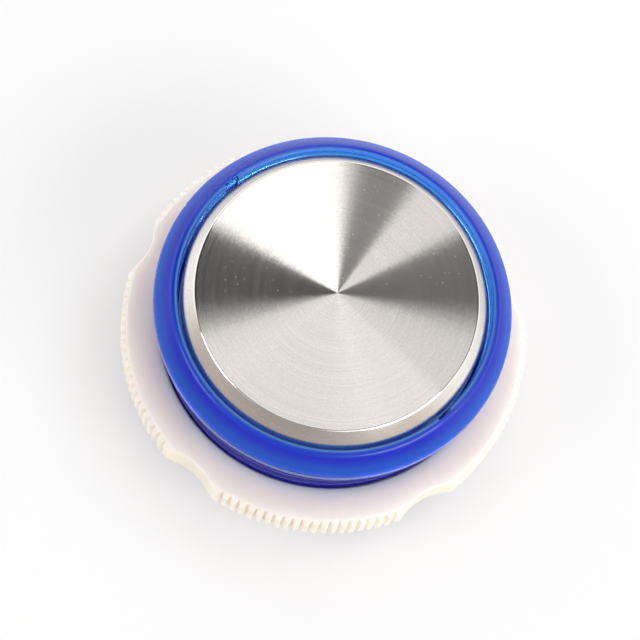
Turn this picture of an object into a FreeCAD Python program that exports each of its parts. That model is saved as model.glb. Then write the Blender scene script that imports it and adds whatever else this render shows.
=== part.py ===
import FreeCAD, Part
import os
from math import acos, atan2, cos, pi, radians, sin, sqrt, tan

# Round lift push button for panel mounting, in millimetres.
# The origin is the centre of the panel seat under the flange, and +Z points out of the button's face.

# Halo sleeve: bore, wall and length behind the panel seat
bore_radius = 16.5
sleeve_wall = 1.4
sleeve_length = 13.0

# Halo sleeve: thread that the nut runs on
thread_pitch = 1.5
thread_depth = 0.5
thread_crest_flat = 0.33
thread_root_flat = 0.33
thread_lead_in = 0.6
thread_run_out = 0.3

# Halo sleeve: flange in front of the panel
flange_overhang = 1.1
flange_height = 3.05
rim_height = 1.1
crest_width = 0.7
rim_round = 1.2
crest_round = 0.3
seat_round = 0.2
gate_mark_width = 0.5
gate_mark_depth = 0.2
gate_mark_angle = 165.0

# Halo sleeve: guide slots, spring ledge and screw bosses
key_slot_count = 2
key_slot_angle = 150.0
key_slot_width = 1.7
key_slot_depth = 0.35
ledge_drop = 5.0
ledge_thickness = 1.2
ledge_width = 2.9
boss_length = 2.4
boss_radius = 1.9

# Button cap, pressed from sheet and turned on its face
cap_gap = 0.4
cap_face_height = 4.05
cap_bevel_width = 1.25
cap_bevel_height = 1.35
cap_face_round = 0.6
cap_edge_round = 0.15
cap_sheet = 0.8
cap_skirt_drop = 0.5

# Cap carrier and the travel of the button
press_travel = 1.2
stop_margin = 0.2
cap_fit = 0.05
guide_gap = 0.3
key_gap = 0.15
carrier_plate = 1.5
carrier_spigot_wall = 1.35
carrier_shoulder = 0.8
carrier_guide_wall = 1.2
post_radius = 2.2
rib_count = 6
rib_angle = 30.0
rib_thickness = 1.0
rib_depth = 1.4

# Snap hooks that keep the carrier in the sleeve
hook_count = 3
hook_angle = 0.0
hook_width = 3.6
hook_thickness = 1.2
hook_gap = 0.25
hook_catch = 0.9
hook_rest_gap = 0.05
hook_nose_land = 0.3
hook_nose_length = 1.35

# Return spring under the carrier
spring_wire = 0.5
spring_half_turns = 5
spring_end_gap = 0.05

# Clamping nut with knurled lands between finger scallops
nut_gap = 0.1
nut_width = 4.1
nut_thickness = 4.2
nut_drop = 6.8
nut_edge = 0.6
nut_bore_edge = 0.5
scallop_count = 5
scallop_angle = 31.0
scallop_chord = 6.35
scallop_depth = 1.1
scallop_corner_round = 0.8
groove_count = 20
groove_depth = 0.5
groove_share = 0.5

# Circuit board, with notches for the hooks
board_thickness = 1.6
board_gap = 0.3
board_notch_gap = 0.5

# LEDs and chip parts on the board
led_count = 6
led_angle = 30.0
led_length = 3.5
led_width = 2.8
led_height = 1.9
led_edge_gap = 0.4
led_window_radius = 1.2
led_window_depth = 0.3
resistor_length = 3.2
resistor_width = 1.6
resistor_height = 0.6
resistor_circle = 9.6
diode_length = 4.3
diode_width = 2.6
diode_height = 2.2
diode_place = 6.3

# Momentary switch on the board
switch_length = 10.0
switch_width = 8.0
switch_tray_height = 5.0
switch_wall = 0.8
switch_floor = 1.0
switch_lid = 1.0
plunger_radius = 1.6
plunger_running_gap = 0.08
plunger_margin = 0.2
plunger_collar_radius = 2.6
plunger_collar = 0.7
plunger_collar_gap = 0.05
plunger_pin_radius = 0.6
plunger_pin_length = 0.7
bridge_end_gap = 0.4
bridge_width = 2.0
bridge_thickness = 0.3
bridge_fit = 0.03
contact_end_gap = 0.1
contact_radius = 0.7
contact_height = 0.25
contact_rest_gap = 0.05
terminal_thickness = 0.4
terminal_width = 1.4
terminal_wall_gap = 0.2
terminal_tail = 1.0
terminal_fit = 0.05
switch_spring_radius = 1.2
switch_spring_wire = 0.3
switch_spring_half_turns = 8

# Connector under the board
connector_length = 10.0
connector_width = 5.0
connector_wall = 0.7
connector_base = 1.6
connector_recess = 0.2
connector_place = 7.5
connector_slot_width = 1.2
connector_slot_place = 2.0
pin_count = 4
pin_pitch = 2.0
pin_side = 0.5
pin_tail = 0.6
pin_setback = 1.0
pin_fit = 0.03
pin_hole_gap = 0.1

# Rear cover and its screws
cover_depth = 3.0
cover_inset = 0.7
cover_plate = 1.2
cover_edge_round = 0.6
cover_spigot_gap = 0.2
cover_spigot_wall = 1.1
cover_window_gap = 0.2
column_wall = 1.2
screw_count = 3
screw_angle = 60.0
screw_inset = 2.5
screw_radius = 1.0
screw_thread_fit = 0.03
screw_hole_gap = 0.1
screw_tip_gap = 0.3
screw_head_radius = 1.8
screw_head_height = 1.4
screw_head_gap = 0.2
screw_recess_width = 0.5
screw_recess_length = 2.0
screw_recess_depth = 0.7

# Radii that follow from the sizes above
thread_radius = bore_radius + sleeve_wall
flange_radius = thread_radius + flange_overhang
ledge_radius = bore_radius - ledge_width
cap_radius = bore_radius - cap_gap
cap_inner_radius = cap_radius - cap_sheet
spigot_radius = cap_inner_radius - cap_fit
spigot_inner_radius = spigot_radius - carrier_spigot_wall
guide_radius = bore_radius - guide_gap
guide_inner_radius = guide_radius - carrier_guide_wall
hook_outer = ledge_radius - hook_gap
hook_inner = hook_outer - hook_thickness
spring_radius = (guide_inner_radius + spigot_inner_radius) / 2
nut_bore_radius = thread_radius + nut_gap
nut_radius = nut_bore_radius + nut_width
board_radius = bore_radius - board_gap
screw_circle = bore_radius - screw_inset
cover_radius = thread_radius - cover_inset
cover_spigot_radius = bore_radius - cover_spigot_gap
column_hole_radius = screw_radius + screw_hole_gap
counterbore_radius = screw_head_radius + screw_head_gap

# Lengths inside the switch that follow from the sizes above
bridge_length = switch_length - 2 * (switch_wall + bridge_end_gap)
contact_place = bridge_length / 2 - contact_end_gap - contact_radius

# Levels along the axis that follow from the sizes above
cap_under = cap_face_height - cap_sheet
carrier_under = cap_under - carrier_plate
skirt_end = -cap_skirt_drop
spring_top = skirt_end - carrier_shoulder
ledge_top = -ledge_drop
ledge_under = ledge_top - ledge_thickness
guide_end = ledge_top + stop_margin + press_travel
board_top = ledge_under - boss_length
board_under = board_top - board_thickness
sleeve_end = -sleeve_length
cover_back = sleeve_end - cover_depth
cover_inside = cover_back + cover_plate
counterbore_floor = cover_back + screw_head_height + screw_head_gap
tray_top = board_top + switch_tray_height
lid_top = tray_top + switch_lid
plunger_top = lid_top + press_travel + plunger_margin
collar_top = tray_top - plunger_collar_gap
bridge_top = collar_top - plunger_collar
bridge_under = bridge_top - bridge_thickness
contact_under = bridge_under - contact_height
fixed_contact_top = contact_under - press_travel - contact_rest_gap
terminal_top = fixed_contact_top - contact_height
tray_floor = board_top + switch_floor
connector_mouth = cover_back + connector_recess

Z_AXIS = FreeCAD.Vector(0, 0, 1)
ORIGIN = FreeCAD.Vector(0, 0, 0)


def in_section(r, z):
    """A point of a profile that is turned about the axis."""
    return FreeCAD.Vector(r, 0, z)


def in_plan(x, y):
    """A point of an outline seen along the axis."""
    return FreeCAD.Vector(x, y, 0)


def polar(radius, angle):
    """A point of an outline seen along the axis, by radius and angle in radians."""
    return in_plan(radius * cos(angle), radius * sin(angle))


def rounded_wire(corners):
    """A closed wire through (point, radius) corners, each rounded by its radius."""
    count = len(corners)
    starts, ends, middles = [], [], []
    for i in range(count):
        point, radius = corners[i]
        back = (corners[i - 1][0] - point).normalize()
        ahead = (corners[(i + 1) % count][0] - point).normalize()
        half = acos(max(-1.0, min(1.0, back.dot(ahead)))) / 2
        reach = radius / tan(half)
        starts.append(point + back * reach)
        ends.append(point + ahead * reach)
        middles.append(point + (back + ahead).normalize() * (radius / sin(half) - radius) if radius else None)
    edges = []
    for i in range(count):
        if middles[i]:
            edges.append(Part.Arc(starts[i], middles[i], ends[i]).toShape())
        edges.append(Part.LineSegment(ends[i], starts[(i + 1) % count]).toShape())
    return Part.Wire(edges)


def turned(corners):
    """A solid turned about the axis from (r, z) or (r, z, corner radius) points."""
    points = [(in_section(c[0], c[1]), c[2] if len(c) > 2 else 0.0) for c in corners]
    return Part.Face(rounded_wire(points)).revolve(ORIGIN, Z_AXIS, 360)


def rod(radius, low, high, x=0.0, y=0.0):
    """A round bar along the axis."""
    return Part.makeCylinder(radius, high - low, FreeCAD.Vector(x, y, low))


def block(length, width, low, high, x=0.0, y=0.0):
    """A box centred on (x, y), from one level to another."""
    corner = FreeCAD.Vector(x - length / 2, y - width / 2, low)
    return Part.makeBox(length, width, high - low, corner)


def radial_block(inner, outer, width, low, high):
    """A box on the +X side that reaches from one radius to another."""
    return block(outer - inner, width, low, high, x=(inner + outer) / 2)


def around(shape, count, first_angle):
    """Copies of a shape at even steps round the axis."""
    copies = []
    for i in range(count):
        copy = shape.copy()
        copy.rotate(ORIGIN, Z_AXIS, first_angle + 360.0 * i / count)
        copies.append(copy)
    return copies


def joined(first, *others):
    """Solids fused into one, with the seams between level faces taken out."""
    return first.fuse(list(others)).removeSplitter()


def coil(radius, wire, half_turns, low, high):
    """A spring about the axis, built of half turns that are each tilted to climb a share of the height."""
    climb = (high - low - wire) / half_turns
    halves = []
    for i in range(half_turns):
        side = 1 if i % 2 == 0 else -1
        level = low + wire / 2 + climb * i
        start = FreeCAD.Vector(side * radius, 0, level)
        section = Part.Face(Part.Wire(Part.makeCircle(wire / 2, start, FreeCAD.Vector(0, 1, 0))))
        middle = FreeCAD.Vector(0, 0, level + climb / 2)
        halves.append(section.revolve(middle, FreeCAD.Vector(side * climb / 2, 0, radius), 180))
    return halves[0].fuse(halves[1:])


def thread_groove():
    """The groove of the sleeve's right-handed thread, from under the sleeve's end to just below the flange."""
    mouth = thread_pitch - thread_crest_flat
    flare = (mouth - thread_root_flat) / 2 / thread_depth
    root_radius = thread_radius - thread_depth
    outside = thread_radius + nut_gap
    start = sleeve_end - thread_pitch / 2
    root_half = thread_root_flat / 2
    outer_half = root_half + flare * (outside - root_radius)
    section = Part.makePolygon([
        in_section(root_radius, start - root_half),
        in_section(root_radius, start + root_half),
        in_section(outside, start + outer_half),
        in_section(outside, start - outer_half),
        in_section(root_radius, start - root_half),
    ])
    helix = Part.makeHelix(thread_pitch, -thread_run_out - mouth / 2 - start, root_radius)
    helix.translate(FreeCAD.Vector(0, 0, start))
    return helix.makePipeShell([section], True, True)


def halo_sleeve():
    """Translucent ring, flange and threaded sleeve in one moulding."""
    shell = turned([
        (bore_radius, sleeve_end),
        (thread_radius - thread_lead_in, sleeve_end),
        (thread_radius, sleeve_end + thread_lead_in),
        (thread_radius, 0),
        (flange_radius, 0, seat_round),
        (flange_radius, rim_height, rim_round),
        (bore_radius + crest_width, flange_height, crest_round),
        (bore_radius, flange_height, crest_round),
        (bore_radius, ledge_top),
        (ledge_radius, ledge_top),
        (ledge_radius, ledge_under),
        (bore_radius, ledge_under),
    ])
    boss = rod(boss_radius, board_top, ledge_top, x=screw_circle)
    shell = joined(shell, *around(boss, screw_count, screw_angle))
    slot = radial_block(spigot_radius, bore_radius + key_slot_depth, key_slot_width, ledge_top, flange_height)
    pilot = rod(screw_radius + screw_thread_fit, board_top, ledge_under, x=screw_circle)
    mark = radial_block(flange_radius - gate_mark_depth, flange_radius + gate_mark_depth,
                        gate_mark_width, 0, flange_height)
    cuts = around(slot, key_slot_count, key_slot_angle)
    cuts += around(pilot, screw_count, screw_angle)
    cuts += around(mark, 1, gate_mark_angle)
    cuts.append(thread_groove())
    return shell.cut(cuts)


def button_cap():
    """Stainless cap: flat turned face, bevel and skirt, of one sheet thickness."""
    bevel = atan2(cap_bevel_height, cap_bevel_width)
    face_radius = cap_radius - cap_bevel_width
    edge_level = cap_face_height - cap_bevel_height
    return turned([
        (0, cap_face_height),
        (face_radius, cap_face_height, cap_face_round),
        (cap_radius, edge_level, cap_edge_round),
        (cap_radius, skirt_end),
        (cap_inner_radius, skirt_end),
        (cap_inner_radius, edge_level - cap_sheet * tan(pi / 4 - bevel / 2)),
        (face_radius - cap_sheet * tan(bevel / 2), cap_under),
        (0, cap_under),
    ])


def snap_hook():
    """One tongue with a barb that catches under the ledge."""
    catch_top = ledge_under - hook_rest_gap
    catch_radius = ledge_radius + hook_catch
    outline = [
        (hook_inner, carrier_under),
        (hook_outer, carrier_under),
        (hook_outer, catch_top),
        (catch_radius, catch_top),
        (catch_radius, catch_top - hook_nose_land),
        (hook_outer, catch_top - hook_nose_length),
        (hook_inner, catch_top - hook_nose_length),
    ]
    face = Part.Face(rounded_wire([(in_section(r, z), 0.0) for r, z in outline]))
    face.translate(FreeCAD.Vector(0, -hook_width / 2, 0))
    return face.extrude(FreeCAD.Vector(0, hook_width, 0))


def cap_carrier():
    """Plunger that fills the cap, runs in the sleeve on keys and is kept in by hooks."""
    bevel = atan2(cap_bevel_height, cap_bevel_width)
    lining = cap_sheet + cap_fit
    edge_level = cap_face_height - cap_bevel_height
    shell = turned([
        (0, cap_under),
        (cap_radius - cap_bevel_width - lining * tan(bevel / 2), cap_under),
        (spigot_radius, edge_level - lining * tan(pi / 4 - bevel / 2)),
        (spigot_radius, skirt_end),
        (guide_radius, skirt_end),
        (guide_radius, guide_end),
        (guide_inner_radius, guide_end),
        (guide_inner_radius, spring_top),
        (spigot_inner_radius, spring_top),
        (spigot_inner_radius, carrier_under),
        (0, carrier_under),
    ])
    post = rod(post_radius, plunger_top, carrier_under)
    rib = radial_block(0, spigot_inner_radius + carrier_spigot_wall / 2, rib_thickness,
                       carrier_under - rib_depth, carrier_under)
    key = radial_block(guide_inner_radius, bore_radius + key_slot_depth - key_gap,
                       key_slot_width - 2 * key_gap, guide_end, spring_top)
    pieces = [post]
    pieces += around(rib, rib_count, rib_angle)
    pieces += around(key, key_slot_count, key_slot_angle)
    pieces += around(snap_hook(), hook_count, hook_angle)
    return joined(shell, *pieces)


def return_spring():
    """Wide coil spring between the sleeve's ledge and the carrier."""
    return coil(spring_radius, spring_wire, spring_half_turns,
                ledge_top + spring_end_gap, spring_top - spring_end_gap)


def nut_outline():
    """Outline of the nut: knurled lands between finger scallops with rounded corners."""
    half_chord = scallop_chord / 2
    chord_place = sqrt(nut_radius**2 - half_chord**2)
    floor_place = nut_radius - scallop_depth
    sagitta = chord_place - floor_place
    hollow_radius = (half_chord**2 + sagitta**2) / (2 * sagitta)
    hollow_place = floor_place + hollow_radius
    corner_place = nut_radius - scallop_corner_round
    corner_reach = hollow_radius + scallop_corner_round
    corner_cosine = (corner_place**2 + hollow_place**2 - corner_reach**2) / (2 * corner_place * hollow_place)
    corner_angle = acos(corner_cosine)
    sector = 2 * pi / scallop_count
    pitch = (sector - 2 * corner_angle) / (groove_count + 1 - groove_share)
    crest = pitch * (1 - groove_share)
    edges = []
    for i in range(scallop_count):
        axis_angle = radians(scallop_angle) + i * sector
        hollow = polar(hollow_place, axis_angle)
        corners = [polar(corner_place, axis_angle + side * corner_angle) for side in (-1, 1)]
        lips = [hollow + (c - hollow) * (hollow_radius / corner_reach) for c in corners]
        shoulders = [polar(nut_radius, axis_angle + side * corner_angle) for side in (-1, 1)]
        rounds = []
        for corner, lip, shoulder in zip(corners, lips, shoulders):
            outward = ((lip - corner) + (shoulder - corner)).normalize()
            rounds.append(Part.Arc(lip, corner + outward * scallop_corner_round, shoulder).toShape())
        edges += [rounds[0], Part.Arc(lips[0], polar(floor_place, axis_angle), lips[1]).toShape(), rounds[1]]
        land_start = axis_angle + corner_angle
        for k in range(groove_count + 1):
            start = land_start + k * pitch
            ends = [polar(nut_radius, start), polar(nut_radius, start + crest)]
            edges.append(Part.Arc(ends[0], polar(nut_radius, start + crest / 2), ends[1]).toShape())
            if k < groove_count:
                root = polar(nut_radius - groove_depth, start + (crest + pitch) / 2)
                edges.append(Part.LineSegment(ends[1], root).toShape())
                edges.append(Part.LineSegment(root, polar(nut_radius, start + pitch)).toShape())
    return Part.Wire(Part.__sortEdges__(edges))


def lock_nut():
    """Clamping nut: knurled outline, broken edges and a plain bore for the thread."""
    top = -nut_drop
    bottom = top - nut_thickness
    body = Part.Face(nut_outline()).extrude(FreeCAD.Vector(0, 0, nut_thickness))
    body.translate(FreeCAD.Vector(0, 0, bottom))
    blank = turned([
        (nut_bore_radius, bottom + nut_bore_edge),
        (nut_bore_radius + nut_bore_edge, bottom),
        (nut_radius - nut_edge, bottom),
        (nut_radius, bottom + nut_edge),
        (nut_radius, top - nut_edge),
        (nut_radius - nut_edge, top),
        (nut_bore_radius + nut_bore_edge, top),
        (nut_bore_radius, top - nut_bore_edge),
    ])
    return blank.common(body)


def circuit_board():
    """Round board with hook notches and drilled for screws, pins and terminals."""
    board = rod(board_radius, board_under, board_top)
    notch_inner = hook_inner - board_notch_gap
    notch_width = hook_width + 2 * board_notch_gap
    notch = radial_block(notch_inner, 2 * board_radius, notch_width, board_under, board_top)
    screw_hole = rod(column_hole_radius, board_under, board_top, x=screw_circle)
    cuts = around(notch, hook_count, hook_angle)
    cuts += around(screw_hole, screw_count, screw_angle)
    pin_hole = pin_side / sqrt(2) + pin_hole_gap
    cuts += [rod(pin_hole, board_under, board_top, x, -connector_place) for x in pin_places()]
    cuts += [terminal_slot(side, board_under, board_top) for side in (-1, 1)]
    return board.cut(cuts)


def on_board(shape, radius, count, first_angle):
    """Copies of a chip part that lies at the origin, set on the board in a ring."""
    placed = shape.copy()
    placed.translate(FreeCAD.Vector(radius, 0, board_top))
    return around(placed, count, first_angle)


def ring_leds():
    """LEDs near the board's edge that light the ring from below."""
    body = block(led_width, led_length, 0, led_height)
    window = rod(led_window_radius, led_height - led_window_depth, led_height)
    place = board_radius - led_edge_gap - led_width / 2
    return Part.makeCompound(on_board(body.cut(window), place, led_count, led_angle))


def led_resistors():
    """One chip resistor for each LED."""
    body = block(resistor_width, resistor_length, 0, resistor_height)
    return Part.makeCompound(on_board(body, resistor_circle, led_count, led_angle))


def guard_diode():
    """Diode that guards the LEDs against reversed supply leads."""
    return block(diode_length, diode_width, board_top, board_top + diode_height, y=diode_place)


def terminal_leg_place():
    """Distance from the axis to the middle of a terminal's leg."""
    return switch_length / 2 - switch_wall - terminal_wall_gap - terminal_thickness / 2


def terminal_slot(side, low, high):
    """Room for one terminal's leg."""
    return block(terminal_thickness + 2 * terminal_fit, terminal_width + 2 * terminal_fit,
                 low, high, x=side * terminal_leg_place())


def switch_base():
    """Open tray of the switch."""
    tray = block(switch_length, switch_width, board_top, tray_top)
    room = block(switch_length - 2 * switch_wall, switch_width - 2 * switch_wall, tray_floor, tray_top)
    return tray.cut([room] + [terminal_slot(side, board_top, tray_floor) for side in (-1, 1)])


def switch_cover():
    """Lid of the switch, bored for the plunger."""
    lid = block(switch_length, switch_width, tray_top, lid_top)
    return lid.cut(rod(plunger_radius + plunger_running_gap, tray_top, lid_top))


def switch_plunger():
    """Push pin with a collar under the lid and a pin that holds the contact bar."""
    return turned([
        (0, plunger_top),
        (plunger_radius, plunger_top),
        (plunger_radius, collar_top),
        (plunger_collar_radius, collar_top),
        (plunger_collar_radius, bridge_top),
        (plunger_pin_radius, bridge_top),
        (plunger_pin_radius, bridge_top - plunger_pin_length),
        (0, bridge_top - plunger_pin_length),
    ])


def contact_bridge():
    """Contact bar on the plunger's pin."""
    bar = block(bridge_length, bridge_width, bridge_under, bridge_top)
    return bar.cut(rod(plunger_pin_radius + bridge_fit, bridge_under, bridge_top))


def contact_pair(low, high):
    """Two contact studs, one at each end of the bar."""
    return Part.makeCompound([rod(contact_radius, low, high, x=side * contact_place) for side in (-1, 1)])


def switch_terminals():
    """Two bent terminals that come up through the tray and carry the fixed contacts."""
    terminals = []
    for side in (-1, 1):
        leg_place = terminal_leg_place()
        leg_outer = leg_place + terminal_thickness / 2
        tab_inner = contact_place - contact_radius
        leg = block(terminal_thickness, terminal_width, board_under - terminal_tail, terminal_top,
                    x=side * leg_place)
        tab = block(leg_outer - tab_inner, terminal_width, terminal_top - terminal_thickness, terminal_top,
                    x=side * (leg_outer + tab_inner) / 2)
        terminals.append(joined(leg, tab))
    return Part.makeCompound(terminals)


def switch_spring():
    """Small coil spring that lifts the contact bar."""
    return coil(switch_spring_radius, switch_spring_wire, switch_spring_half_turns,
                tray_floor + spring_end_gap, bridge_under - spring_end_gap)


def pin_places():
    """Where the connector's pins stand along its length."""
    return [pin_pitch * (i - (pin_count - 1) / 2) for i in range(pin_count)]


def connector_shell():
    """Shrouded header with two polarising slots."""
    shell = block(connector_length, connector_width, connector_mouth, board_under, y=-connector_place)
    base_level = board_under - connector_base
    room = block(connector_length - 2 * connector_wall, connector_width - 2 * connector_wall,
                 connector_mouth, base_level, y=-connector_place)
    slot_side = connector_width / 2 - connector_place
    cuts = [room]
    for side in (-1, 1):
        cuts.append(block(connector_slot_width, 2 * connector_wall, connector_mouth, base_level,
                          x=side * connector_slot_place, y=slot_side))
    hole = pin_side + 2 * pin_fit
    cuts += [block(hole, hole, base_level, board_under, x, -connector_place) for x in pin_places()]
    return shell.cut(cuts)


def connector_pins():
    """Square pins from above the board to inside the connector's mouth."""
    low = connector_mouth + pin_setback
    high = board_top + pin_tail
    pins = [block(pin_side, pin_side, low, high, x, -connector_place) for x in pin_places()]
    return Part.makeCompound(pins)


def rear_cover():
    """Moulded back: rim flush behind the sleeve, spigot inside it and screw columns under the board."""
    spigot_inner = cover_spigot_radius - cover_spigot_wall
    shell = turned([
        (0, cover_back),
        (cover_radius, cover_back, cover_edge_round),
        (cover_radius, sleeve_end),
        (cover_spigot_radius, sleeve_end),
        (cover_spigot_radius, board_under),
        (spigot_inner, board_under),
        (spigot_inner, cover_inside),
        (0, cover_inside),
    ])
    column = rod(counterbore_radius + column_wall, cover_back + cover_edge_round, board_under, x=screw_circle)
    column = column.common(rod(cover_spigot_radius, cover_back, board_under))
    shell = joined(shell, *around(column, screw_count, screw_angle))
    hole = rod(column_hole_radius, counterbore_floor, board_under, x=screw_circle)
    counterbore = rod(counterbore_radius, cover_back, counterbore_floor, x=screw_circle)
    window = block(connector_length + 2 * cover_window_gap, connector_width + 2 * cover_window_gap,
                   cover_back, board_under, y=-connector_place)
    cuts = around(hole, screw_count, screw_angle)
    cuts += around(counterbore, screw_count, screw_angle)
    return shell.cut(cuts + [window])


def cover_screws():
    """Screws that clamp the cover and the board to the sleeve's bosses."""
    tip = ledge_under - screw_tip_gap
    head_bottom = counterbore_floor - screw_head_height
    body = turned([
        (0, tip),
        (screw_radius, tip),
        (screw_radius, counterbore_floor),
        (screw_head_radius, counterbore_floor),
        (screw_head_radius, head_bottom, screw_head_height / 3),
        (0, head_bottom),
    ])
    recess_top = head_bottom + screw_recess_depth
    bars = [block(screw_recess_length, screw_recess_width, head_bottom, recess_top),
            block(screw_recess_width, screw_recess_length, head_bottom, recess_top)]
    screw = body.cut(bars)
    screw.translate(FreeCAD.Vector(screw_circle, 0, 0))
    return Part.makeCompound(around(screw, screw_count, screw_angle))


PIECES = {
    "button_cap": button_cap,
    "cap_carrier": cap_carrier,
    "halo_sleeve": halo_sleeve,
    "lock_nut": lock_nut,
    "return_spring": return_spring,
    "circuit_board": circuit_board,
    "ring_leds": ring_leds,
    "led_resistors": led_resistors,
    "guard_diode": guard_diode,
    "switch_base": switch_base,
    "switch_cover": switch_cover,
    "switch_plunger": switch_plunger,
    "contact_bridge": contact_bridge,
    "moving_contacts": lambda: contact_pair(contact_under, bridge_under),
    "fixed_contacts": lambda: contact_pair(terminal_top, fixed_contact_top),
    "switch_terminals": switch_terminals,
    "switch_spring": switch_spring,
    "connector_shell": connector_shell,
    "connector_pins": connector_pins,
    "rear_cover": rear_cover,
    "cover_screws": cover_screws,
}

os.makedirs("parts", exist_ok=True)
for node, build in PIECES.items():
    piece = build()
    piece.exportStep(f"parts/{node}.step")
    print(f"{node}: {len(piece.Solids)} solids, valid {piece.isValid()}, {piece.Volume:.1f} mm3")
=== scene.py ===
"""Looks of a round lift push button: turned steel cap, clear blue ring on a thread, knurled ivory nut."""

import logging
import math
from dataclasses import dataclass, field
from enum import Enum
from typing import Mapping, Sequence, Union

import bmesh
import bpy
import numpy as np
from mathutils import Matrix, Vector


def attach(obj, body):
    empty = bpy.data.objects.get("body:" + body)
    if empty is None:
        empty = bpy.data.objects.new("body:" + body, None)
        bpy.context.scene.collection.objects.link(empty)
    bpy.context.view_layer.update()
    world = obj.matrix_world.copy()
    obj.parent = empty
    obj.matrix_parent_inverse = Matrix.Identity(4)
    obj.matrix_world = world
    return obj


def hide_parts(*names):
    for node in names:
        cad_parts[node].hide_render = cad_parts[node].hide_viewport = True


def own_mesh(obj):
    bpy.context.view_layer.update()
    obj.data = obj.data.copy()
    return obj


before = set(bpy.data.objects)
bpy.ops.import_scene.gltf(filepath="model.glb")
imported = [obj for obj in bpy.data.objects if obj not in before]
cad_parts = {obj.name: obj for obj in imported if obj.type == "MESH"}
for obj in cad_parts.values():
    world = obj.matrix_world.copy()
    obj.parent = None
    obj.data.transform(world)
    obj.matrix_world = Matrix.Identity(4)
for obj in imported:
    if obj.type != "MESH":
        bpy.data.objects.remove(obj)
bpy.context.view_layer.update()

LOG = logging.getLogger("lift_button")
MM = 0.001
PLASTIC_IOR = 1.49
Point = tuple[float, float]
Colour = tuple[float, float, float, float]
Socket = bpy.types.NodeSocket
Outlets = bpy.types.bpy_prop_collection
Feed = Union[float, Sequence[float], Socket]


class Body(Enum):
    """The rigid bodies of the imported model."""

    HOUSING = "housing"
    BUTTON = "button"
    PLUNGER = "plunger"
    NUT = "nut"


class Press(Enum):
    """The joints that squeeze a spring."""

    BUTTON = "button_press"
    SWITCH = "switch_press"


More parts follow.
